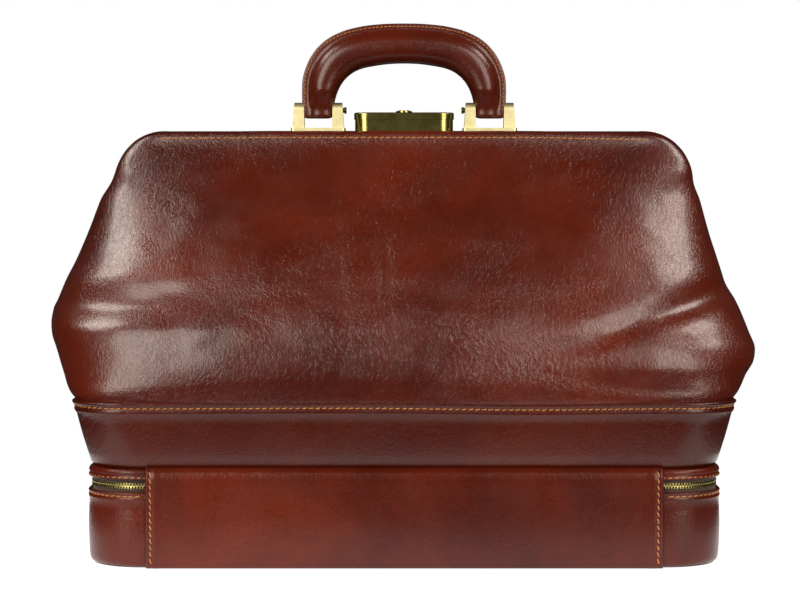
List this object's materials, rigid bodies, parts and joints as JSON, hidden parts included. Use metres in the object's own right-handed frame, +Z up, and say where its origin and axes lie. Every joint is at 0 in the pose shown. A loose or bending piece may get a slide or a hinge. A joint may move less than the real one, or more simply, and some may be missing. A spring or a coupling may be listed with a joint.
{
  "type": "doctor bag",
  "caption": "Leather doctor bag with a hinged steel frame mouth, arched handle, brass lock and brackets, and a zipped compartment under a tip-up base.",
  "frame": {"origin": "on the ground, under the middle of the bag's overall box", "axes": "+X along the bag, +Y from the leather hinge panel towards the zip pulls, +Z up"},
  "size_m": [0.4464, 0.2416, 0.3388],
  "materials": {
    "hide": "gloss",
    "lining": "matte",
    "board": "matte",
    "tape": "matte",
    "brass": "satin",
    "steel": "satin"
  },
  "bodies": {
    "tray": {"tray_sole": "hide", "tray_wall_front": "hide", "tray_wall_rear": "hide", "tray_floor_board": "board", "tray_wall_board": "board", "tray_lining": "lining", "hinge_panel": "hide", "zip_tape_lower": "tape", "zip_teeth_lower": "brass"},
    "upper": {"zip_tape_upper": "tape", "zip_teeth_upper": "brass", "zip_strip": "hide", "belt_front": "hide", "belt_rear": "hide", "belt_board": "board", "deck_board": "board", "deck_leather": "hide", "front_panel": "hide", "front_panel_top": "hide", "rear_panel": "hide", "rear_panel_top": "hide", "gusset_left": "hide", "gusset_left_top": "hide", "gusset_right": "hide", "gusset_right_top": "hide", "lining": "lining", "lining_top": "lining", "lining_base": "lining", "hinge_tabs": "steel", "hinge_rivets": "brass", "hinge_washers": "hide"},
    "front_jaw": {"front_jaw_steel": "steel", "front_jaw_cover": "hide", "bracket_left": "brass", "bracket_right": "brass", "bracket_rivets": "brass", "handle_pin_left": "brass", "handle_pin_right": "brass", "lock_case": "brass", "lock_cover": "brass", "lock_collar": "brass", "lock_rivets": "steel", "click_spring": "steel"},
    "rear_jaw": {"rear_jaw_steel": "steel", "rear_jaw_cover": "hide", "strike": "brass", "strike_rivets": "brass"},
    "handle": {"handle_cover": "hide", "handle_core": "board", "handle_tangs": "steel"},
    "latch": {"latch_bolt": "brass", "thumb_slide": "brass"},
    "key": {"key_cylinder": "brass"},
    "slider_left": {"zip_slider_left": "brass"},
    "slider_right": {"zip_slider_right": "brass"},
    "pull_left": {"zip_pull_left": "brass"},
    "pull_right": {"zip_pull_right": "brass"}
  },
  "joints": [
    {"name": "base_open", "type": "hinge", "parent": "tray", "child": "upper", "pos_m": [0, -0.1129, 0.057], "axis": [1, 0, 0], "range_deg": [0, 115]},
    {"name": "front_jaw_open", "type": "hinge", "parent": "upper", "child": "front_jaw", "pos_m": [0, 0, 0.222], "axis": [1, 0, 0], "range_deg": [0, 65], "deforming": ["front_panel_top", "gusset_left_top", "gusset_right_top"]},
    {"name": "rear_jaw_open", "type": "hinge", "parent": "upper", "child": "rear_jaw", "pos_m": [0, 0, 0.222], "axis": [-1, 0, 0], "range_deg": [0, 65], "deforming": ["rear_panel_top", "lining_top"]},
    {"name": "handle_swing", "type": "hinge", "parent": "front_jaw", "child": "handle", "pos_m": [0, -0.012, 0.2825], "axis": [-1, 0, 0], "range_deg": [-85, 85]},
    {"name": "latch_slide", "type": "slide", "parent": "front_jaw", "child": "latch", "axis": [1, 0, 0], "range_m": [-0.0032, 0]},
    {"name": "key_turn", "type": "hinge", "parent": "front_jaw", "child": "key", "pos_m": [0, -0.012, 0.28], "axis": [0, 0, 1], "range_deg": [0, 90]},
    {"name": "zip_left", "type": "slide", "parent": "tray", "child": "slider_left", "axis": [-1, 0, 0], "range_m": [0, 0.15]},
    {"name": "zip_right", "type": "slide", "parent": "tray", "child": "slider_right", "axis": [1, 0, 0], "range_m": [0, 0.15]},
    {"name": "pull_left_swing", "type": "hinge", "parent": "slider_left", "child": "pull_left", "pos_m": [-0.0065, 0.11475, 0.0506], "axis": [0, 0, -1], "range_deg": [0, 100]},
    {"name": "pull_right_swing", "type": "hinge", "parent": "slider_right", "child": "pull_right", "pos_m": [0.0065, 0.11475, 0.0506], "axis": [0, 0, 1], "range_deg": [0, 100]}
  ]
}
